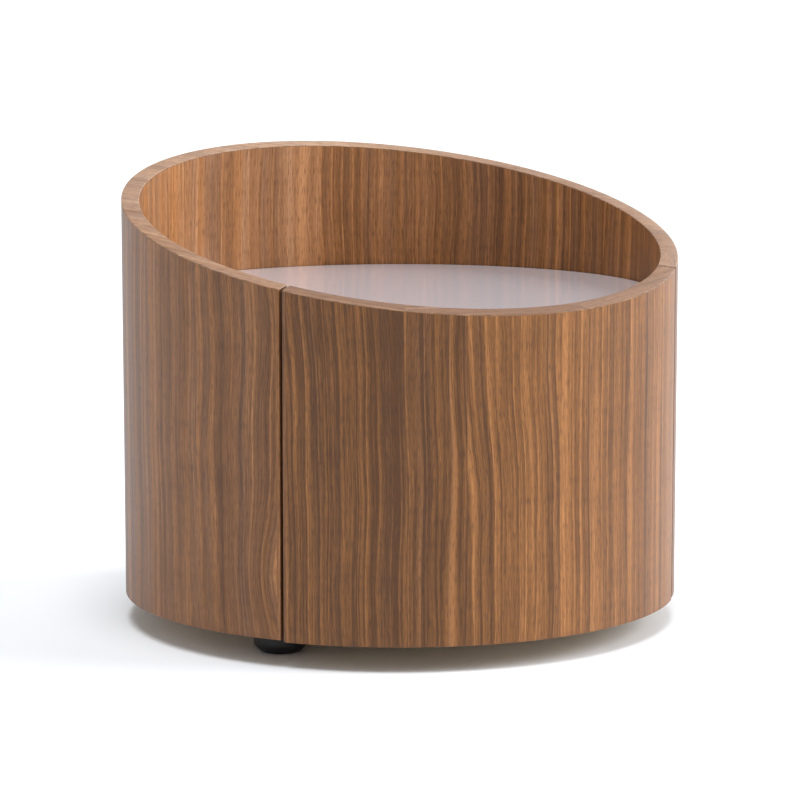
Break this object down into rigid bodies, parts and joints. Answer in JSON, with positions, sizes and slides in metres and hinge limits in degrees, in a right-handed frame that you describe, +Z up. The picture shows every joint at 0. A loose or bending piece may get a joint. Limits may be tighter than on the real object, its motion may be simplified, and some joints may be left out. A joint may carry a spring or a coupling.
{
  "type": "bedside cabinet",
  "caption": "Round bedside cabinet in walnut veneer with a slanted rim, a recessed glass top and a curved drawer front on ball-bearing runners.",
  "frame": {"origin": "on the floor, on the vertical axis of the round shell", "axes": "+Z up, -Y towards the drawer front, +X to the right of someone facing the drawer"},
  "size_m": [0.5, 0.5, 0.4165],
  "materials": {
    "walnut": "vertical walnut veneer, satin lacquer, on the shell and the drawer front",
    "walnut_rim": "walnut veneer band with its grain in one direction, satin lacquer",
    "walnut_lipping": "solid walnut strip, satin lacquer",
    "birch_ply": "birch plywood, clear lacquer",
    "beech": "beech dowels, unfinished",
    "painted_glass": "clear float glass painted lilac grey on its back, polished",
    "silicone": "translucent silicone",
    "black_plastic": "fine textured black polypropylene",
    "grey_plastic": "moulded grey acetal",
    "zinc_steel": "zinc plated pressed steel",
    "bearing_steel": "polished bearing steel",
    "spring_steel": "drawn spring wire",
    "screw_steel": "zinc plated screws"
  },
  "bodies": {
    "cabinet": {"curved_shell": "walnut", "shell_rim_band": "walnut_rim", "shell_lipping_left": "walnut_lipping", "shell_lipping_right": "walnut_lipping", "base_panel": "birch_ply", "top_board": "birch_ply", "glass_top": "painted_glass", "glass_pads": "silicone", "partition_left": "birch_ply", "partition_right": "birch_ply", "partition_edge_left": "walnut_lipping", "partition_edge_right": "walnut_lipping", "rear_divider": "birch_ply", "shell_dowels": "beech", "carcass_dowels": "beech", "runner_outer_left": "zinc_steel", "runner_outer_right": "zinc_steel", "runner_screws_carcass": "screw_steel", "foot_front_left": "black_plastic", "foot_front_right": "black_plastic", "foot_rear": "black_plastic", "foot_screws": "screw_steel", "latch_body": "grey_plastic", "latch_spring": "spring_steel"},
    "drawer": {"drawer_front": "walnut", "front_rim_band": "walnut_rim", "front_lipping_left": "walnut_lipping", "front_lipping_right": "walnut_lipping", "drawer_side_left": "birch_ply", "drawer_side_right": "birch_ply", "drawer_back": "birch_ply", "drawer_bottom": "birch_ply", "front_batten_left": "birch_ply", "front_batten_right": "birch_ply", "batten_screws": "screw_steel", "drawer_dowels": "beech", "runner_inner_left": "zinc_steel", "runner_inner_right": "zinc_steel", "runner_screws_drawer": "screw_steel", "strike_plate": "zinc_steel", "strike_screws": "screw_steel"},
    "middle_rail_left": {"runner_middle_left": "zinc_steel"},
    "middle_rail_right": {"runner_middle_right": "zinc_steel"},
    "outer_cage_left": {"outer_cage_left": "zinc_steel", "outer_balls_left": "bearing_steel"},
    "outer_cage_right": {"outer_cage_right": "zinc_steel", "outer_balls_right": "bearing_steel"},
    "inner_cage_left": {"inner_cage_left": "zinc_steel", "inner_balls_left": "bearing_steel"},
    "inner_cage_right": {"inner_cage_right": "zinc_steel", "inner_balls_right": "bearing_steel"},
    "plunger": {"latch_plunger": "grey_plastic", "latch_tip": "silicone"}
  },
  "joints": [
    {"name": "drawer_slide", "type": "slide", "parent": "cabinet", "child": "drawer", "axis": [0, -1, 0], "range_m": [-0.002, 0.25]},
    {"name": "middle_rail_left_slide", "type": "slide", "parent": "cabinet", "child": "middle_rail_left", "axis": [0, -1, 0], "range_m": [-0.001, 0.125]},
    {"name": "outer_cage_left_slide", "type": "slide", "parent": "cabinet", "child": "outer_cage_left", "axis": [0, -1, 0], "range_m": [-0.0005, 0.0625]},
    {"name": "inner_cage_left_slide", "type": "slide", "parent": "cabinet", "child": "inner_cage_left", "axis": [0, -1, 0], "range_m": [-0.0015, 0.1875]},
    {"name": "middle_rail_right_slide", "type": "slide", "parent": "cabinet", "child": "middle_rail_right", "axis": [0, -1, 0], "range_m": [-0.001, 0.125]},
    {"name": "outer_cage_right_slide", "type": "slide", "parent": "cabinet", "child": "outer_cage_right", "axis": [0, -1, 0], "range_m": [-0.0005, 0.0625]},
    {"name": "inner_cage_right_slide", "type": "slide", "parent": "cabinet", "child": "inner_cage_right", "axis": [0, -1, 0], "range_m": [-0.0015, 0.1875]},
    {"name": "plunger_press", "type": "slide", "parent": "cabinet", "child": "plunger", "axis": [0, -1, 0], "range_m": [-0.0025, 0], "stiffness_N_per_m": 1500, "springref_m": 0.003, "deforming": ["latch_spring"]}
  ],
  "couplings": [
    {"joint": "middle_rail_left_slide", "follows": "drawer_slide", "ratio": 0.5},
    {"joint": "outer_cage_left_slide", "follows": "drawer_slide", "ratio": 0.25},
    {"joint": "inner_cage_left_slide", "follows": "drawer_slide", "ratio": 0.75},
    {"joint": "middle_rail_right_slide", "follows": "drawer_slide", "ratio": 0.5},
    {"joint": "outer_cage_right_slide", "follows": "drawer_slide", "ratio": 0.25},
    {"joint": "inner_cage_right_slide", "follows": "drawer_slide", "ratio": 0.75}
  ]
}
